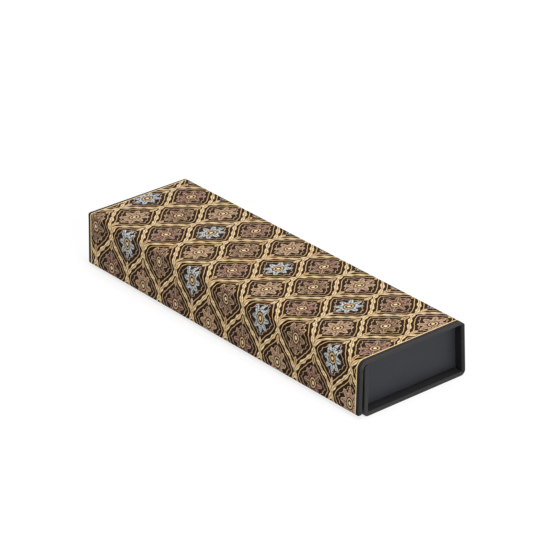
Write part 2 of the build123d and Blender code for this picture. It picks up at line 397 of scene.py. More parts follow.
turn = band_wave(y)
swing = turn * (CELL_WIDTH / 4)
phase = ((x - swing) / CELL_WIDTH).math("FRACT")
split_at = turn * -0.5 + 0.5
in_b = (phase - split_at).below(0.0, 0.0001)
a = (x - in_b.choose(0.75 * CELL_WIDTH, 0.25 * CELL_WIDTH)).wrap(CELL_WIDTH)
b = (y - in_b * (CELL_LENGTH / 2)).wrap(CELL_LENGTH)
half_cell = (band_wave(b) + 1) * (CELL_WIDTH / 4)
steepness = (y * (2 * pi / CELL_LENGTH)).sin().abs() * (ROUNDNESS * 2 * pi) + 4 * (1 - ROUNDNESS)
slope = steepness * (CELL_WIDTH / 4 / CELL_LENGTH)
inset = (half_cell - a.abs()) / (slope * slope + 1).math("SQRT")
print("ogee net:", LENGTH / CELL_WIDTH, "cells along the case")

# %% Colours of the inks
GROUND = linear(46, 27, 9)
GOLD = linear(232, 193, 140)
GOLD_LIGHT = linear(255, 236, 190)
GOLD_DEEP = linear(162, 125, 86)
TAN = linear(203, 170, 142)
BROWN = linear(142, 113, 98)
PLUM = linear(146, 106, 100)
PLUM_DARK = linear(70, 47, 42)
SILVER = linear(222, 226, 222)
SLATE = linear(74, 80, 84)
BROWN_DARK = linear(66, 48, 35)
SLATE_DARK = linear(36, 36, 36)

colour = GROUND


def ink(mask, over):
    """Prints one more ink over the sheet where the mask is 1."""
    global colour
    colour = blend_colour(tree, mask, colour, over)


def inverse(mask):
    """1 where the mask is 0."""
    return mask.math("MULTIPLY_ADD", -1.0, 1.0)


column = (x / CELL_WIDTH - in_b.choose(0.75, 0.25)).math("ROUND")
row = (y / CELL_LENGTH - in_b * 0.5).math("ROUND")
family = (column + row).math("FLOORED_MODULO", 2.0) * 2 + in_b
mottle = noise(tree, sheet_map.outputs[0], 700, 3.0, 0.6)
fleck = noise(tree, sheet_map.outputs[0], 1300, 2.0, 0.5)


def by_family(plum, silver, tan_ink, brown):
    """One of four inks, by the family that a cell belongs to."""
    out = blend_colour(tree, family.line(1.0, 0.5, 0.01), plum, silver)
    out = blend_colour(tree, family.line(2.0, 0.5, 0.01), out, tan_ink)
    return blend_colour(tree, family.line(3.0, 0.5, 0.01), out, brown)


petal_ink = blend_colour(tree, fleck.below(0.46, 0.04), by_family(PLUM, SILVER, TAN, BROWN),
                         by_family(PLUM_DARK, SLATE, BROWN, GROUND))
print("four families of cells,", len(tree.nodes), "nodes so far")

# %% [markdown]
# The rosette is drawn in the polar coordinates of its cell: a petal is where a cosine of eight times the
# angle is high. Two contour lines go round it inside the bands, and one small leaf fills each tip.

# %% Rosettes
INK_SOFT, TIP_SOFT = 0.07, 0.3
CELL_FLATNESS, PETALS = 0.74, 8
SCALLOP_LENGTH, SCALLOP_HEIGHT, FIELD_INSET = 2.8, 0.8, 4.5
PETAL_MIDDLE, PETAL_SWING = 5.0, 1.3

flat_b = b * CELL_FLATNESS
radius = (a * a + flat_b * flat_b).math("SQRT")
angle = flat_b.math("ARCTAN2", a)
lobes = (angle * PETALS).cos()
scallop = inset - (b * (pi / SCALLOP_LENGTH)).sin().abs() * SCALLOP_HEIGHT
in_field = inverse(scallop.below(FIELD_INSET, INK_SOFT))
ink(in_field, by_family(PLUM_DARK, SLATE_DARK, BROWN_DARK, PLUM_DARK))
ink(scallop.line(FIELD_INSET - 0.2, 0.24, INK_SOFT) * inverse(half_cell.below(6.4, TIP_SOFT)), TAN)
ink((radius - lobes * 0.6).below(7.5, INK_SOFT) * in_field, GROUND)
past_petal = radius - (lobes * PETAL_SWING + PETAL_MIDDLE)
ink(past_petal.below(0.0, INK_SOFT), petal_ink)
vein = (angle * (PETALS / 2)).sin().abs() * radius
ink(past_petal.below(-0.4, INK_SOFT) * vein.below(0.5, 0.2), by_family(GOLD, SLATE, PLUM_DARK, TAN))
ink(past_petal.line(0.12, 0.2, INK_SOFT), by_family(TAN, SLATE, GOLD, GOLD))
ink(radius.below(2.6, INK_SOFT), GROUND)
ink(radius.line(1.8, 0.3, INK_SOFT), GOLD)
ink(radius.below(0.8, INK_SOFT), GOLD_LIGHT)
print("rosettes with", PETALS, "petals,", len(tree.nodes), "nodes so far")

# %% Leaves, border lines and bands
LEAF_AT = 12.6
SCALLOPS_OF_BAND, TWIST_OF_BAND = 4.6, 2.6

tip = b.abs() - LEAF_AT
leaf = a.abs() * 1.5 + (tip * tip) * 0.2
ink(leaf.below(1.5, INK_SOFT), GOLD)
ink(leaf.below(0.7, INK_SOFT), petal_ink)
ink(inset.line(2.45, 0.2, INK_SOFT) * inverse(half_cell.below(3.6, TIP_SOFT)), GOLD)
band = inset - (b * (2 * pi / SCALLOPS_OF_BAND)).sin() * 0.3
gold_mask = band.below(0.85, INK_SOFT)
twist = (b * (2 * pi / TWIST_OF_BAND) + a * 2.2).sin() * 0.4 + mottle
ink(gold_mask, blend_colour(tree, twist.below(0.42, 0.3), GOLD, GOLD_LIGHT))
ink((inset - mottle * 0.4).below(0.0, 0.05), GOLD_DEEP)
print("bands and leaves,", len(tree.nodes), "nodes so far")

# %% [markdown]
# Near each end of the case the print stops at a thin gold line, and black ink runs from there round the edge.
# The line at the far end runs a little askew, so that its margin grows slightly towards the flap's lower
# edge. The black ink is painted greyer where the attribute `edge` is high: partly wear by hands, and partly a
# painted sheen and highlight. The lid's margins and rims get it most of all, and the flap and the spine get it
# only along their edges.

# %% Margins, and the shader of the printed paper
NEAR_MARGIN, FAR_MARGIN, FAR_SKEW = 2.36, 1.25, 0.0101
RULE_AT, RULE_HALF_WIDTH, RULE_SOFT = 0.3, 0.28, 0.04
MARGIN_WEAR_AND_SHEEN, EDGE_RUB = 0.9, 0.16
FOIL_METAL, FOIL_HEIGHT = 0.25, 0.6

near_gap = u * -1 + (HALF - NEAR_MARGIN)
far_gap = v * -FAR_SKEW + u + (HALF - FAR_MARGIN)
gap = near_gap.min(far_gap)
outside = gap.below(0.0, RULE_SOFT)
rule_line = gap.line(RULE_AT, RULE_HALF_WIDTH, RULE_SOFT)
ink(rule_line, linear(254, 224, 164))
fibre = place_group(tree, grain)
margin_ink = blend_colour(tree, fibre["Tone"], linear(31, 30, 31), linear(49, 48, 50))
# The margin's black ink is painted greyer by the attribute `edge`: partly wear, partly a painted sheen and
# highlight.
ink(outside, blend_colour(tree, wear_and_sheen_attribute(tree) * MARGIN_WEAR_AND_SHEEN, margin_ink, linear(68, 66, 67)))
ink(place_group(tree, rub, Amount=EDGE_RUB)["Mask"], linear(120, 114, 108))
tree.links.new(colour, shader.inputs["Base Color"])
foil = gold_mask.max(rule_line) * inverse(outside)
feed(tree, shader.inputs["Roughness"], foil * -0.12 + fibre["Tone"] * 0.14 + 0.44)
feed(tree, shader.inputs["Metallic"], foil * FOIL_METAL)
add_bump(tree, shader, fibre["Height"] + foil * FOIL_HEIGHT, 0.00003)
print("printed paper:", len(tree.nodes), "nodes")

# %% [markdown]
# ## Paper as a mesh
#
# A glued sheet is a flat rectangle that follows the boards. Its section is given by two lines in the YZ
# plane, one on the covered face and one on the inner face of the board, both against the length of paper from
# a starting edge. A point of the sheet is then at `outer + depth share × (inner - outer)`, moved along X. At
# the ends of the case the paper turns round the board's edge, so a second line, the edge line, says how far
# in from the end and how deep each strip of it lies.

# %% Lines that a sheet follows
def flat_run(start, end, inward, steps):
    """Outer and inner line of a flat stretch: start + s (end - start), and that + PANEL x inward."""
    outer = np.linspace(start, end, steps + 1)
    return outer, outer + PANEL * np.array(inward)


def round_run(centre, radius, from_degrees, to_degrees, steps):
    """Outer and inner line of a bend: outer = centre + r (cos a, sin a), and inner has r less by PANEL."""
    a = np.radians(np.linspace(from_degrees, to_degrees, steps + 1))
    ray = np.stack((np.cos(a), np.sin(a)), axis=1)
    return centre + radius * ray, centre + (radius - PANEL) * ray


def run_length(line):
    """Length along a line of points, from 0 at its first point."""
    return np.concatenate(((0.0,), np.cumsum(np.hypot(*np.diff(line, axis=0).T))))


class Course:
    """The way of a sheet across the case: outer and inner line against the length of paper."""

    def __init__(self, *runs):
        self.outer, self.inner = (
            np.concatenate([runs[0][k]] + [run[k][1:] for run in runs[1:]]) for k in (0, 1)
        )
        self.length = run_length(self.outer)

    def at(self, x, t, depth):
        """Points at x, paper length t and depth: outer + depth / PANEL x (inner - outer)."""
        yz = []
        for k in (0, 1):
            outer = np.interp(t, self.length, self.outer[:, k])
            inner = np.interp(t, self.length, self.inner[:, k])
            yz.append(outer + depth / PANEL * (inner - outer))
        return np.stack((x, *yz), axis=-1)


ARC_POINTS = 7
BESIDE_ARC = 0.15


def edge_line(turn_in, skin=0.0):
    """Line of the paper round a board's edge: distance in from the edge, and depth under the covered face.
    It has two quarter circles, of EDGE_RADIUS and the softer INNER_RADIUS, and ends turn_in from the edge."""
    r, s = EDGE_RADIUS - skin, INNER_RADIUS - skin
    a = np.linspace(0, pi / 2, ARC_POINTS)
    upper = np.stack((EDGE_RADIUS - r * np.sin(a), EDGE_RADIUS - r * np.cos(a)), axis=1)
    lower = np.stack((INNER_RADIUS - s * np.cos(a), PANEL - INNER_RADIUS + s * np.sin(a)), axis=1)
    face = np.array([(TURN_IN, skin), (EDGE_RADIUS + BESIDE_ARC, skin)])
    back_face = [(INNER_RADIUS + BESIDE_ARC, PANEL - skin), (turn_in, PANEL - skin)]
    return np.concatenate((face, upper, lower, back_face))


print("edge line", len(edge_line(TURN_IN)), "points,", round(run_length(edge_line(TURN_IN))[-1], 1), "mm")

# %% Put arrays into a mesh
SMOOTH_UNDER = radians(40)


def grid_faces(numbers):
    """Quads of a grid of vertex numbers: each joins a number to its neighbours in the next row and column."""
    corners = (numbers[:-1, :-1], numbers[1:, :-1], numbers[1:, 1:], numbers[:-1, 1:])
    return np.stack(corners, axis=-1).reshape(-1, 4)


def outward(points, faces):
    """The faces, turned round if they enclose a negative volume: a sixth of the sum of a . (b x c)."""
    a, b, c, d = (points[faces[:, k]] for k in range(4))
    volume = np.einsum("ij,ij->", a, np.cross(b, c)) + np.einsum("ij,ij->", a, np.cross(c, d))
    return faces if volume > 0 else faces[:, ::-1]


def new_piece(name, points, faces, material, uv=None, edge=None):
    """A mesh object from points in mm and faces, shaded smooth where they meet under SMOOTH_UNDER."""
    faces = outward(points, faces)
    mesh = bpy.data.meshes.new(name)
    mesh.from_pydata((points * MM).tolist(), [], [tuple(dict.fromkeys(f)) for f in faces.tolist()])
    mesh.validate()
    if uv is not None:
        corner = np.zeros(len(mesh.loops), np.int32)
        mesh.loops.foreach_get("vertex_index", corner)
        uv_layer = mesh.uv_layers.new(name="sheet")
        uv_layer.data.foreach_set("uv", (uv[corner] * MM).astype(np.float32).ravel())
    if edge is not None:
        # The attribute `edge` holds wear and painted sheen: how much greyer the black ink is painted.
        wear_and_sheen_layer = mesh.attributes.new("edge", "FLOAT", "POINT")
        wear_and_sheen_layer.data.foreach_set("value", edge.astype(np.float32))
    mesh.polygons.foreach_set("use_smooth", np.ones(len(mesh.polygons), bool))
    mesh.set_sharp_from_angle(angle=SMOOTH_UNDER)
    mesh.materials.append(material)
    piece = bpy.data.objects.new(name, mesh)
    bpy.context.scene.collection.objects.link(piece)
    print(name, len(mesh.vertices), "vertices,", len(mesh.polygons), "faces")
    return piece


def merged(points, faces, *others):
    """The same faces on points without doubles, and other arrays per point thinned in the same way."""
    _, first, number = np.unique(points.round(5), axis=0, return_index=True, return_inverse=True)
    return number.ravel()[faces], points[first], *(o[first] for o in others)


print("mesh helpers ready")

# %% Give a sheet its thickness
PLAIN_SIDE = 1000.0


def sheet_piece(name, grids, back_grids, uv_grids, edge_grids, material):
    """A sheet with thickness. grids are arrays of points on its face, and back_grids the same points on its
    back. Edges with one face are the sheet's border, and get a narrow face between front and back. The back's
    map lies far outside the print, so it is plain black."""
    sizes = [g.shape[0] * g.shape[1] for g in grids]
    starts = np.concatenate(((0,), np.cumsum(sizes)[:-1]))
    faces = np.concatenate([
        grid_faces(np.arange(n).reshape(g.shape[:2]) + s) for g, n, s in zip(grids, sizes, starts)
    ])
    front, back_side, uv = (np.concatenate([g.reshape(-1, g.shape[-1]) for g in many])
                            for many in (grids, back_grids, uv_grids))
    edge = np.concatenate([g.ravel() for g in edge_grids])
    faces, front, back_side, uv, edge = merged(front, faces, back_side, uv, edge)
    count = len(front)
    sides = np.stack((faces, np.roll(faces, -1, axis=1)), axis=-1).reshape(-1, 2)
    sides = sides[sides[:, 0] != sides[:, 1]]
    _, which, times = np.unique(np.sort(sides, axis=1), axis=0, return_index=True, return_counts=True)
    border = sides[which[times == 1]]
    rim = np.stack((border[:, 1], border[:, 0], border[:, 0] + count, border[:, 1] + count), axis=1)
    faces = np.concatenate((faces, faces[:, ::-1] + count, rim))
    return new_piece(name, np.concatenate((front, back_side)), faces, material,
                     np.concatenate((uv, uv + (PLAIN_SIDE, 0))), np.concatenate((edge, edge * 0)))


print("a sheet is", PAPER, "mm thick")

# %% [markdown]
# ## The cover sheet of lid and flap
#
# One sheet of printed paper runs over the lid, round the soft fold and down the flap. At the flap's two lower
# corners it is folded in with a small radius. The sheet's face is a grid, and a band of strips carries it
# round the three free edges.

# %% Softened creases and the cover sheet's course
BEND_STEPS = 4


def soft_bend(corner, before, after, radius):
    """Points of an arc that rounds a corner: it touches the lines from the corner towards before and after,
    at radius x tan(turn / 2) from it. The middle point is where two sheets meet."""
    corner = np.array(corner, float)
    one, two = (np.array(p, float) - corner for p in (before, after))
    one, two = one / np.linalg.norm(one), two / np.linalg.norm(two)
    half_turn = (pi - np.arccos(one @ two)) / 2
    middle = (one + two) / np.linalg.norm(one + two)
    centre = corner + middle * radius / cos(half_turn)
    side = np.array((-middle[1], middle[0])) * np.sign(one @ np.array((-middle[1], middle[0])))
    a = np.linspace(half_turn, -half_turn, 2 * BEND_STEPS + 1)[:, None]
    return centre - radius * np.cos(a) * middle + radius * np.sin(a) * side


CREASE = 0.8
lid_crease = soft_bend((LID_BACK, HEIGHT), (FOLD_Y, HEIGHT), (SPINE_HEAD, SPINE_TOP), CREASE)
spine_crease = soft_bend((SPINE_HEAD, SPINE_TOP), (LID_BACK, HEIGHT), (SPINE_FOOT, 0), CREASE)
below_crease = np.linspace((LID_BACK, SPINE_TOP), (lid_crease[0, 0], SPINE_TOP), BEND_STEPS + 1)
crease_start = (lid_crease[BEND_STEPS::-1], below_crease)
print("lid crease", lid_crease.round(2).tolist())

# %% Lay the cover sheet
down_flap = (-sin(LEAN), -cos(LEAN))
flap_start = (FOLD_Y - FOLD_RADIUS * cos(LEAN), FOLD_Z + FOLD_RADIUS * sin(LEAN))
flap_end = tuple(np.array(flap_start) + FLAP_WIDTH * np.array(down_flap))
lid_run = flat_run(lid_crease[0], (FOLD_Y, HEIGHT), (0, -1), 40)
fold_run = round_run((FOLD_Y, FOLD_Z), FOLD_RADIUS, 90, 180 - LEAN_DEGREES, 48)
flap_run = flat_run(flap_start, flap_end, (cos(LEAN), -sin(LEAN)), 20)
cover = Course(crease_start, lid_run, fold_run, flap_run)
END = cover.length[-1]
print("printed sheet of lid and flap:", LENGTH, "x", round(END, 1), "mm")

# %% Carry the sheet round its free edges
CORNER_ROWS = 9


def band_round(profile, t_rows, x_columns):
    """Places of the strips round three free edges: near end, flap's lower edge, far end.
    Rows go along the edge and columns along the profile. Returns x, length t, depth, and unrolled u, v."""
    from_edge, depth = profile.T
    rolled = run_length(edge_line(TURN_IN))
    beyond = rolled - (TURN_IN - from_edge)
    reach = np.maximum(from_edge, FLAP_CORNER)
    corner_radius = np.maximum(FLAP_CORNER - from_edge, 0.0)
    rows = []
    for t in t_rows:
        same_t = np.full_like(from_edge, t)
        rows.append((HALF - from_edge, same_t, rolled + HALF - TURN_IN, same_t))
    for a in np.radians(np.linspace(0, 90, CORNER_ROWS)):
        x, t = HALF - reach + corner_radius * cos(a), END - reach + corner_radius * sin(a)
        rows.append((x, t, x + beyond * cos(a), t + beyond * sin(a)))
    for x in x_columns:
        same_x = np.full_like(from_edge, x)
        rows.append((same_x, END - from_edge, same_x, END - TURN_IN + rolled))
    x, t, sheet_u, sheet_v = (np.array(part) for part in zip(*rows))
    half = len(t_rows) + CORNER_ROWS
    mirror = slice(half - 1, None, -1)
    x, t = np.concatenate((x, -x[mirror])), np.concatenate((t, t[mirror]))
    sheet_u, sheet_v = np.concatenate((sheet_u, -sheet_u[mirror])), np.concatenate((sheet_v, sheet_v[mirror]))
    return x, t, np.broadcast_to(depth, x.shape), np.stack((sheet_u, sheet_v), axis=-1)


t_rows = cover.length[cover.length < END - TURN_IN - 0.1]
x_columns = np.linspace(HALF - TURN_IN, TURN_IN - HALF, 55)[1:-1]
inner_t = np.append(t_rows, END - TURN_IN)
inner_x = np.concatenate(((HALF - TURN_IN,), x_columns, (TURN_IN - HALF,)))
face_t, face_x = np.meshgrid(inner_t, inner_x, indexing="ij")
grids, backs = [], []
for skin, store in ((0.0, grids), (PAPER, backs)):
    bx, bt, bd, band_uv = band_round(edge_line(TURN_IN, skin), t_rows, x_columns)
    store.append(cover.at(bx, bt, bd))
    store.append(cover.at(face_x, face_t, np.full_like(face_x, skin)))
print("band round three edges:", grids[0].shape, "and face:", grids[1].shape)

# %% [markdown]
# The attribute `edge` says how worn a place is and how much painted sheen it gets. It is 1 just inside the
# board's edge, where it also stands for a painted highlight on the rounded edge, and fades over half a
# millimetre. On the flap it is held under 0.4, so the flap's margins stay darker, as painted shade. At the
# lid's ends it never falls below 0.25, a painted sheen over the whole of the lid's margins and rims.

# %% Wear and painted sheen of the edges, and the cover sheet itself
WEAR_AND_SHEEN_AT, WEAR_AND_SHEEN_OVER = 0.15, 0.5
LID_PAINTED_SHEEN, FLAP_MOST_WEAR_AND_SHEEN = 0.25, 0.4


def edge_wear_and_sheen(from_edge, least=0.0, most=1.0):
    """Wear and painted sheen at a distance from the board's edge: 1 - |distance - WEAR_AND_SHEEN_AT| /
    WEAR_AND_SHEEN_OVER, within two limits.
    """
    return np.clip(1 - np.abs(from_edge - WEAR_AND_SHEEN_AT) / WEAR_AND_SHEEN_OVER, least, most)


# Painted sheen: the lid's margins and rims, which face the light from above, are painted greyer than the
# flap's.
on_lid = np.clip((grids[0][..., 2] - FOLD_Z) / FOLD_RADIUS, 0, 1)
most_wear_and_sheen = FLAP_MOST_WEAR_AND_SHEEN + (1 - FLAP_MOST_WEAR_AND_SHEEN) * on_lid
wear_and_sheen_share = edge_wear_and_sheen(edge_line(TURN_IN)[:, 0], LID_PAINTED_SHEEN * on_lid, most_wear_and_sheen)
cover_sheet = sheet_piece(
    "cover_sheet", grids, backs, [band_uv, np.stack((face_x, face_t), axis=-1)],
    [wear_and_sheen_share, np.zeros_like(face_x)], printed_paper,
)
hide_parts("lid_cover_paper", "flap_fold_paper", "flap_cover_paper")

# %% [markdown]
# The fold isn't equally soft all along. At the near end it is as round as the strip inside it, and towards
# the far end it is pressed into a nearly sharp corner. The fold is built round first, and then every point of
# its layers moves outwards by what its angle and its place along the case ask for.

# %% Press the fold sharper towards the far end
FAR_CREASE = 1.3


def press_fold(piece):
    """Turns a quarter circle of radius R into a corner of radius r, which shrinks along the case. With
    c = R - r and m = c (cos a + sin a), a point at angle a moves away from the axis by
    m + sqrt(m^2 - 2 c^2 + r^2) - R on the rounded corner, and by R / max(cos a, sin a) - R beside it."""
    places = np.zeros(len(piece.data.vertices) * 3, np.float32)
    piece.data.vertices.foreach_get("co", places)
    x, y, z = places.reshape(-1, 3).T / MM
    out, up = FOLD_Y - y, z - FOLD_Z
    angle = np.arctan2(up, out)
    c = (FOLD_RADIUS - FAR_CREASE) * (HALF - x) / (2 * HALF)
    m = c * (np.cos(angle) + np.sin(angle))
    corner = m + np.sqrt(np.maximum(m ** 2 - 2 * c ** 2 + (FOLD_RADIUS - c) ** 2, 0))
    beside = FOLD_RADIUS / np.maximum(np.cos(angle), np.sin(angle)).clip(0.5)
    on_corner = np.minimum(angle, pi / 2 - angle) > np.arctan(c / FOLD_RADIUS)
    in_fold = (out > 0) & (up > 0)
    grown = np.where(in_fold, np.where(on_corner, corner, beside) - FOLD_RADIUS, 0)
    moved = np.stack((x, y - grown * np.cos(angle), z + grown * np.sin(angle)), axis=1) * MM
    piece.data.vertices.foreach_set("co", moved.astype(np.float32).ravel())
    piece.data.update()
    print(piece.name, "moved out by at most", round(float(grown.max()), 2), "mm")


press_fold(cover_sheet)
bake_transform(cover_sheet)

# %% [markdown]
# ## Spine and hinge
#
# The printed paper goes on over a narrow slanted fold, the hinge, and down the spine. The hinge sheet is a
# piece of its own between case and lid. Behind it lie two wedges of cloth, which fill the fold when the case is
# shut. They part along its crease as the lid opens, so one rides on the lid and one on the case.

# %% A sheet with two turned ends
OPEN_WEAR_AND_SHEEN = 0.2


def open_sheet(name, course, turn_in, depth_end):
    """A printed sheet with its two ends turned round the board: its course along one way, the edge line along
    the other, as far as depth_end. Its edges are worn, and painted with sheen, a fifth as much as the lid's."""
    grids, backs = [], []
    for skin, store in ((0.0, grids), (PAPER, backs)):
        line = edge_line(turn_in, skin)
        line = line[line[:, 1] <= depth_end]
        to_middle = [(d, skin) for d in np.linspace(TURN_IN, HALF, 36)[1:]]
        from_edge, depth = np.concatenate((line[::-1], to_middle)).T
        from_edge = np.concatenate((from_edge, 2 * HALF - from_edge[-2::-1]))
        depth = np.concatenate((depth, depth[-2::-1]))
        t, place = np.meshgrid(course.length, HALF - from_edge, indexing="ij")
        store.append(course.at(place, t, np.broadcast_to(depth, t.shape)))
        if skin == 0:
            rolled = run_length(np.column_stack((from_edge, depth)))
            sheet_u = rolled[-1] / 2 - rolled
            open_wear_and_sheen = OPEN_WEAR_AND_SHEEN * edge_wear_and_sheen(np.minimum(from_edge, 2 * HALF - from_edge))
    uv = np.stack(np.broadcast_arrays(sheet_u, course.length[:, None]), axis=-1)
    return sheet_piece(name, grids, backs, [uv], [np.broadcast_to(open_wear_and_sheen, t.shape)], printed_paper)


print("open sheets ready")

# %% Courses of spine and hinge
spine_inner_head = (SPINE_HEAD - PANEL, SPINE_TOP)
spine_lean = (SPINE_FOOT - SPINE_HEAD) / SPINE_TOP
corner_centre = (SPINE_FOOT - spine_lean * SPINE_CORNER - SPINE_CORNER * hypot(1, spine_lean), SPINE_CORNER)
inner_corner = (SPINE_FOOT - spine_lean * PANEL - PANEL * hypot(1, spine_lean), PANEL)
lean_degrees = np.degrees(np.arctan(spine_lean))
corner_run = round_run(corner_centre, SPINE_CORNER, lean_degrees, -45, 16)
wall_top, wall_foot = spine_crease[-1], corner_run[0][0]
spine = Course(
    (spine_crease[BEND_STEPS:], np.broadcast_to(spine_inner_head, (BEND_STEPS + 1, 2))),
    (np.linspace(wall_top, wall_foot, 13), np.linspace(spine_inner_head, inner_corner, 13)),
    (corner_run[0], np.broadcast_to(inner_corner, corner_run[0].shape)),
)


def joined(first, second):
    """Two lines and a straight stretch between them, in 8 steps from one's end to the other's start."""
    return np.concatenate((first, np.linspace(first[-1], second[0], 9)[1:-1], second))


BEND_INSIDE_Y, BEND_INSIDE_Z = 0.2, 0.15
hinge_inner_lid = np.linspace((LID_BACK, SPINE_TOP), (LID_BACK + BEND_INSIDE_Y, SPINE_TOP), BEND_STEPS + 1)
hinge_inner_spine = np.linspace(
    (SPINE_HEAD - PANEL - BEND_INSIDE_Y, SPINE_TOP), spine_inner_head, BEND_STEPS + 1
)
hinge = Course((joined(lid_crease[BEND_STEPS:], spine_crease[:BEND_STEPS + 1]),
                joined(hinge_inner_lid, hinge_inner_spine)))
hinge_length = hinge.length[-1]
hinge.length = hinge.length - hinge_length
print("spine", round(spine.length[-1], 1), "mm of paper, hinge", round(hinge_length, 1), "mm")

# %% Lay the spine sheet
spine_sheet = open_sheet("spine_sheet", spine, RECESS, PANEL)
spine_uv = spine_sheet.data.uv_layers["sheet"].data
flat_uv = np.zeros(len(spine_uv) * 2, np.float32)
spine_uv.foreach_get("uv", flat_uv)
flat_uv[1::2] = -hinge_length * MM - flat_uv[1::2]
spine_uv.foreach_set("uv", flat_uv)
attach(spine_sheet, "case")
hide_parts("spine_cover_paper")

# %% Lay the hinge sheet
HINGE_TURN_DOWN = 0.9
hinge_sheet = open_sheet("hinge_sheet", hinge, TURN_IN, HINGE_TURN_DOWN)
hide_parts("lid_hinge_paper")
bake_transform(hinge_sheet)

# %% Solids from rings
END_SHRINK = 0.86


def skin_rings(name, rings, material):
    """A solid from rings of points, an array (ring, point, axis). A fan of faces round its middle closes
    each end."""
    count, n = rings.shape[:2]
    numbers = np.arange(count * n).reshape(count, n)
    around = grid_faces(np.concatenate((numbers, numbers[:, :1]), axis=1))
    points = np.concatenate((rings.reshape(-1, 3), rings[[0, -1]].mean(axis=1)))
    first, last = np.full(n, count * n), np.full(n, count * n + 1)
    ring, after = numbers[0], np.roll(numbers[0], -1)
    start_cap = np.stack((ring, after, first, first), axis=1)
    end_cap = np.stack((after + numbers[-1, 0], ring + numbers[-1, 0], last, last), axis=1)
    return new_piece(name, points, np.concatenate((around, start_cap, end_cap)), material)


def prism(name, section, reach, material, end_round=0.3):
    """A section in the YZ plane drawn out along X: middle + shrink (section - middle). Its first and last
    ring are smaller by END_SHRINK, which softens the ends."""
    section = np.array(section)
    middle_point = section.mean(axis=0)
    stations = ((-reach, END_SHRINK), (-reach + end_round, 1), (reach - end_round, 1), (reach, END_SHRINK))
    rings = []
    for x, shrink in stations:
        yz = middle_point + (section - middle_point) * shrink
        rings.append(np.column_stack((np.full(len(section), x), yz)))
    return skin_rings(name, np.array(rings), material)


print("solids from rings ready")

# %% Cloth wedges behind the hinge
WEDGE_REACH = HALF - 0.1
CREASE_FROM_HEAD, CREASE_UNDER_TOP = 1.8, 1.46
crease_point = (SPINE_HEAD - CREASE_FROM_HEAD, HEIGHT - CREASE_UNDER_TOP)
lid_side = [(LID_BACK, SPINE_TOP + 0.02), (LID_BACK, HEIGHT - PAPER - 0.06), crease_point]
spine_side = [(LID_BACK + 0.03, SPINE_TOP), crease_point, (SPINE_HEAD - PAPER - 0.16, SPINE_TOP)]
wedges = ("hinge_cloth_lid", lid_side, "lid"), ("hinge_cloth_spine", spine_side, "case")
for name, wedge_section, body in wedges:
    wedge = prism(name, wedge_section, WEDGE_REACH, black_cloth)
    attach(wedge, body)
    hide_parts("lid_hinge_cloth")

# %% [markdown]
# ## Inside the soft fold
#
# A strip of board, scored five times, makes the fold round, and a strip of cloth covers it inside. Both are
# pressed sharper towards the far end, as the sheet outside them is.

# %% Section of the scored strip
def fold_point(angle, radius):
    """A point of the fold's section: centre + radius (cos a, sin a), with the angle in degrees."""
    return (FOLD_Y + radius * cos(radians(angle)), FOLD_Z + radius * sin(radians(angle)))


SCORES, SCORE_DEPTH, SCORE_WIDTH = 5, 1.3, 0.25
board_in, board_out = FOLD_RADIUS - PANEL + PAPER, FOLD_RADIUS - PAPER
sweep = 90 - LEAN_DEGREES
section = [fold_point(90 + sweep * k / 32, board_out) for k in range(33)]
notch_half = np.degrees(SCORE_WIDTH / 2 / board_in)
section.append(fold_point(90 + sweep, board_in))
for k in reversed(range(SCORES)):
    at = 90 + sweep * (k + 0.5) / SCORES
    section += [fold_point(at + notch_half, r) for r in (board_in, board_in + SCORE_DEPTH)]
    section += [fold_point(at - notch_half, r) for r in (board_in + SCORE_DEPTH, board_in)]
section.append(fold_point(90, board_in))
print("strip with", SCORES, "scores,", len(section), "points")

# %% The strip, its cloth, and how both bend
fold_strip = prism("fold_strip_scored", section, HALF - PAPER, greyboard, 0.05)

cloth_steps = np.radians(90 + sweep * np.linspace(0, 1, 17))
across_fold = np.linspace(HALF - TURN_IN, TURN_IN - HALF, 2)
angle_grid, x_grid = np.meshgrid(cloth_steps, across_fold, indexing="ij")
cloth_face, cloth_back = (
    np.stack((x_grid, FOLD_Y + r * np.cos(angle_grid), FOLD_Z + r * np.sin(angle_grid)), axis=-1)
    for r in (FOLD_RADIUS - PANEL, board_in)
)
cloth_uv = np.stack((x_grid, angle_grid), axis=-1)
fold_cloth = sheet_piece("fold_cloth", [cloth_face], [cloth_back], [cloth_uv], [x_grid * 0], black_cloth)
inside_fold = (fold_strip, "greyboard", "flap_fold_board"), (fold_cloth, "black_cloth", "flap_fold_cloth")
for piece, slot, node in inside_fold:
    press_fold(piece)
    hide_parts(node)
    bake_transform(piece)

# %% [markdown]
# ## The tray's end walls
#
# The tray stands between front wall and spine, a little in from the ends of the case. Its black paper comes
# up from inside, goes over the top of the end wall, down its outer face and round the lower edge. The groove
# that is left between this soft edge and the base shows as a dark line.

# %% Measures of the tray, and the lines of its end wall
FLAP_GAP, LID_GAP = 0.6, 0.3
FRONT_FACE = FOLD_Y - (FOLD_RADIUS - PANEL) * cos(LEAN) + FLAP_GAP
WALL_TOP = SPINE_TOP - LID_GAP
TRAY_END, TRAY_BOARD, GROOVE, GROOVE_RADIUS = HALF - RECESS, 1.5, 0.35, 0.7
GROOVE_BACK = TRAY_END - 1.3
INSIDE = TRAY_END - TRAY_BOARD - 2 * PAPER
FLOOR_TOP = PANEL + TRAY_BOARD


def rounded_path(*corners):
    """Points of a line through corners (x, z, radius): each corner is an arc, as in soft_bend."""
    ends = [np.array([c[:2]]) for c in (corners[0], corners[-1])]
    bends = [soft_bend(c[:2], b[:2], d[:2], c[2]) for b, c, d in zip(corners, corners[1:], corners[2:])]
    return np.concatenate((ends[0], *bends, ends[1]))


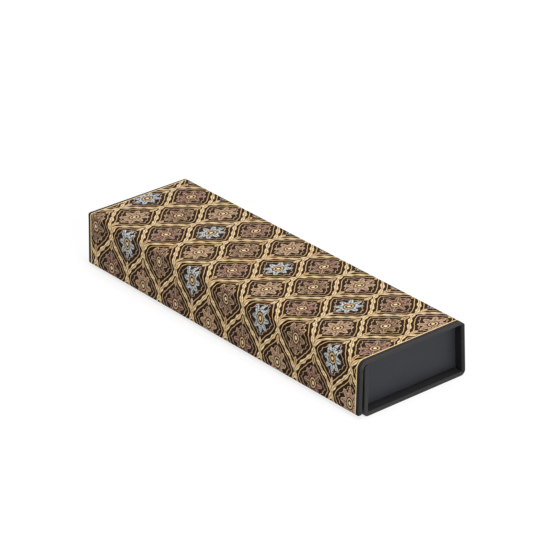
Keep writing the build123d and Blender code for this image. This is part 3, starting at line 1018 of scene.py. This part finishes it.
def offset_line(line, distance):
    """The line moved to the right of its way: p + distance x (t_z, -t_x), where t is its tangent."""
    tangent = np.gradient(line, axis=0)
    tangent /= np.linalg.norm(tangent, axis=1)[:, None]
    return line + distance * np.stack((tangent[:, 1], -tangent[:, 0]), axis=1)


def across_tray(line, side):
    """A line in the XZ plane drawn out from front wall to leaning spine: an array (point, column, axis)."""
    x, z = line.T
    front = np.full_like(x, FRONT_FACE + PANEL - PAPER)
    rear = SPINE_FOOT - spine_lean * z - (PANEL - PAPER) * hypot(1, spine_lean)
    return np.stack([np.stack((side * x, y, z), axis=1) for y in (front, rear)], axis=1)


ledge = PANEL + GROOVE
paper_line = rounded_path(
    (INSIDE, FLOOR_TOP), (INSIDE, WALL_TOP, 0.4), (TRAY_END, WALL_TOP, 0.5), (TRAY_END, ledge, GROOVE_RADIUS),
    (GROOVE_BACK, ledge, GROOVE / 2), (GROOVE_BACK, PANEL, GROOVE / 2), (TRAY_END, PANEL),
)
board_foot, board_top = ledge + PAPER, WALL_TOP - PAPER
board_line = rounded_path(
    (GROOVE_BACK, board_foot), (INSIDE + PAPER, board_foot, 0.1), (INSIDE + PAPER, board_top, 0.2),
    (TRAY_END - PAPER, board_top, 0.3), (TRAY_END - PAPER, board_foot, GROOVE_RADIUS - PAPER),
    (GROOVE_BACK + 0.1, board_foot),
)
print("end wall from", round(FLOOR_TOP, 1), "to", round(WALL_TOP, 1), "mm high")

# %% Build both end walls
for end, side in (("near", 1), ("far", -1)):
    front_grid, back_grid = across_tray(paper_line, side), across_tray(offset_line(paper_line, PAPER), side)
    end_sheet = sheet_piece(f"end_sheet_{end}", [front_grid], [back_grid], [front_grid[..., :2]],
                            [front_grid[..., 0] * 0], black_paper)
    end_board = skin_rings(f"end_board_{end}", across_tray(board_line, side).transpose(1, 0, 2), greyboard)
    layers = (end_sheet, "black_paper", "end_paper"), (end_board, "greyboard", "tray_end_board")
    for piece, slot, node in layers:
        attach(piece, "case")
        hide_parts(f"{node}_{end}")

# %% [markdown]
# ## The CAD nodes that stay
#
# Boards, linings, discs and the papers of base and front wall keep the CAD's meshes and need only a finish,
# which each node's slot names.

# %% Finishes of the CAD nodes that stay
FINISHES = {"greyboard": greyboard, "black_paper": black_paper, "lining_paper": lining_paper,
            "black_cloth": black_cloth, "disc_metal": disc_metal, "printed_paper": printed_paper}
COVERS_OF_CASE = ("base_cover_paper", "front_wall_cover_paper")
for name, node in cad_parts.items():
    slot_name = node.data.materials[0].name
    node.data.materials[0] = cover_paper if name in COVERS_OF_CASE else FINISHES[slot_name]
print("CAD nodes shown:", sorted(n for n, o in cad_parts.items() if not o.hide_render))

# %% [markdown]
# ## Floor and light
#
# The photograph is a studio picture on white. A big soft lamp hangs above, and a second one stands low on the
# right and lights the near end. The floor is white and plain. To the camera most of its white is a glow, so
# it stays white and still takes a soft shadow. From below it is clear, so the underside can be looked at.

# %% Floor
FLOOR_REACH, FLOOR_DROP = 4, 5e-5
WHITE, HALF_WHITE, GLOW = 0.82, 0.3, 0.77

floor_mesh = bpy.data.meshes.new("floor")
signs = ((-1, -1), (1, -1), (1, 1), (-1, 1))
corners = [(x * FLOOR_REACH, y * FLOOR_REACH, -FLOOR_DROP) for x, y in signs]
floor_mesh.from_pydata(corners, [], [(0, 1, 2, 3)])
floor = bpy.data.objects.new("floor", floor_mesh)
bpy.context.scene.collection.objects.link(floor)
print("floor is", 2 * FLOOR_REACH, "m wide")

# %% Finish of the floor
floor_finish = bpy.data.materials.new("white_floor")
floor_finish.use_nodes = True
tree = floor_finish.node_tree
tree.nodes.clear()
plain = new_node(tree, "BsdfDiffuse", (WHITE, WHITE, WHITE, 1))
half_plain = new_node(tree, "BsdfDiffuse", (HALF_WHITE, HALF_WHITE, HALF_WHITE, 1))
glow = new_node(tree, "Emission", Strength=GLOW)
seen = new_node(tree, "AddShader", half_plain.outputs[0], glow.outputs[0])
rays = new_node(tree, "LightPath")
seen_ray = Signal(tree, rays.outputs["Is Camera Ray"]).max(Signal(tree, rays.outputs["Is Glossy Ray"]))
by_ray = new_node(tree, "MixShader", seen_ray, plain.outputs[0], seen.outputs[0])
clear = new_node(tree, "BsdfTransparent")
from_below = new_node(tree, "NewGeometry").outputs["Backfacing"]
by_side = new_node(tree, "MixShader", from_below, by_ray.outputs[0], clear.outputs[0])
new_node(tree, "OutputMaterial", by_side.outputs[0])
floor_mesh.materials.append(floor_finish)
print("floor finish:", len(tree.nodes), "nodes")

# %% World
WORLD_LIGHT, WORLD_SEEN = 0.32, 1.0
scene = bpy.context.scene
scene.view_settings.view_transform = "Standard"
world = bpy.data.worlds.new("studio")
scene.world = world
world.use_nodes = True
tree = world.node_tree
sky = tree.nodes["Background"]
sky.inputs["Color"].default_value = (1, 1, 1, 1)
rays = new_node(tree, "LightPath")
lit = Signal(tree, rays.outputs["Is Camera Ray"]).max(Signal(tree, rays.outputs["Is Glossy Ray"]))
lit = lit.max(Signal(tree, rays.outputs["Is Transmission Ray"]))
feed(tree, sky.inputs["Strength"], lit.choose(WORLD_LIGHT, WORLD_SEEN))
print("world gives", WORLD_LIGHT, "of white to the case")

# %% Lamps
def soft_lamp(name, place, size, watts):
    """A square area lamp at a place, turned towards the case."""
    lamp = bpy.data.lights.new(name, "AREA")
    lamp.size, lamp.energy = size, watts
    lamp_object = bpy.data.objects.new(name, lamp)
    scene.collection.objects.link(lamp_object)
    turn_to = (-Vector(place)).to_track_quat("-Z", "Y")
    lamp_object.matrix_world = Matrix.Translation(place) @ turn_to.to_matrix().to_4x4()


soft_lamp("lamp_above", (0.1, 0.05, 1.5), 1.0, 11.8)
soft_lamp("lamp_right", (1.5, -0.15, 0.6), 0.8, 13)
